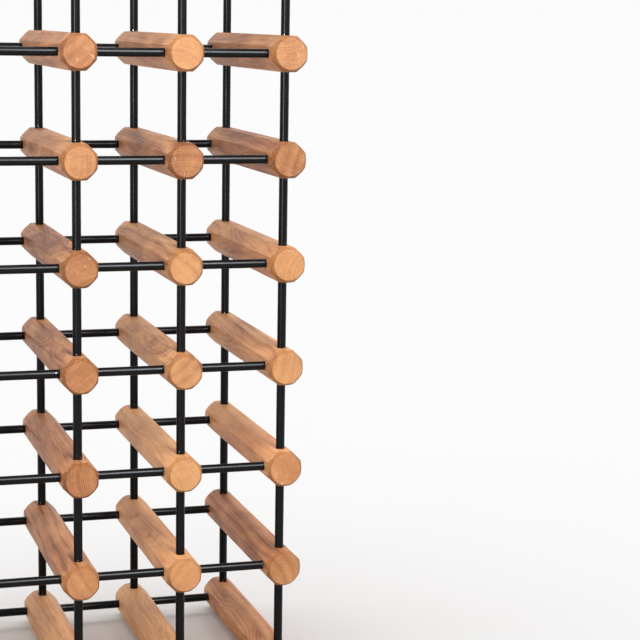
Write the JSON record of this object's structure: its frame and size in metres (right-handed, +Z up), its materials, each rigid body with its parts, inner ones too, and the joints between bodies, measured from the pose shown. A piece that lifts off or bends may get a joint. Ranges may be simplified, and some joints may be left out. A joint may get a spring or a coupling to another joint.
{
  "type": "wine rack",
  "caption": "Free-standing wine rack: octagonal wooden dowels in a square lattice, joined front and rear by short black steel rods, with bottles lying in the cells between.",
  "frame": {"origin": "on the floor, at the centre of the rack's footprint", "axes": "+Z up, +X to the right seen from the front, +Y from the front to the rear along the dowels"},
  "size_m": [0.334, 0.264, 0.734],
  "materials": {
    "dowel_wood": "oiled, satin",
    "black_rod": "black, semi-gloss"
  },
  "bodies": {
    "root": {"dowel_row1_column1": "dowel_wood", "dowel_row1_column2": "dowel_wood", "dowel_row1_column3": "dowel_wood", "dowel_row1_column4": "dowel_wood", "dowel_row2_column1": "dowel_wood", "dowel_row2_column2": "dowel_wood", "dowel_row2_column3": "dowel_wood", "dowel_row2_column4": "dowel_wood", "dowel_row3_column1": "dowel_wood", "dowel_row3_column2": "dowel_wood", "dowel_row3_column3": "dowel_wood", "dowel_row3_column4": "dowel_wood", "dowel_row4_column1": "dowel_wood", "dowel_row4_column2": "dowel_wood", "dowel_row4_column3": "dowel_wood", "dowel_row4_column4": "dowel_wood", "dowel_row5_column1": "dowel_wood", "dowel_row5_column2": "dowel_wood", "dowel_row5_column3": "dowel_wood", "dowel_row5_column4": "dowel_wood", "dowel_row6_column1": "dowel_wood", "dowel_row6_column2": "dowel_wood", "dowel_row6_column3": "dowel_wood", "dowel_row6_column4": "dowel_wood", "dowel_row7_column1": "dowel_wood", "dowel_row7_column2": "dowel_wood", "dowel_row7_column3": "dowel_wood", "dowel_row7_column4": "dowel_wood", "dowel_row8_column1": "dowel_wood", "dowel_row8_column2": "dowel_wood", "dowel_row8_column3": "dowel_wood", "dowel_row8_column4": "dowel_wood", "front_crossbars_row1": "black_rod", "front_crossbars_row2": "black_rod", "front_crossbars_row3": "black_rod", "front_crossbars_row4": "black_rod", "front_crossbars_row5": "black_rod", "front_crossbars_row6": "black_rod", "front_crossbars_row7": "black_rod", "front_crossbars_row8": "black_rod", "rear_crossbars_row1": "black_rod", "rear_crossbars_row2": "black_rod", "rear_crossbars_row3": "black_rod", "rear_crossbars_row4": "black_rod", "rear_crossbars_row5": "black_rod", "rear_crossbars_row6": "black_rod", "rear_crossbars_row7": "black_rod", "rear_crossbars_row8": "black_rod", "front_uprights_column1": "black_rod", "front_uprights_column2": "black_rod", "front_uprights_column3": "black_rod", "front_uprights_column4": "black_rod", "rear_uprights_column1": "black_rod", "rear_uprights_column2": "black_rod", "rear_uprights_column3": "black_rod", "rear_uprights_column4": "black_rod"}
  },
  "joints": []
}
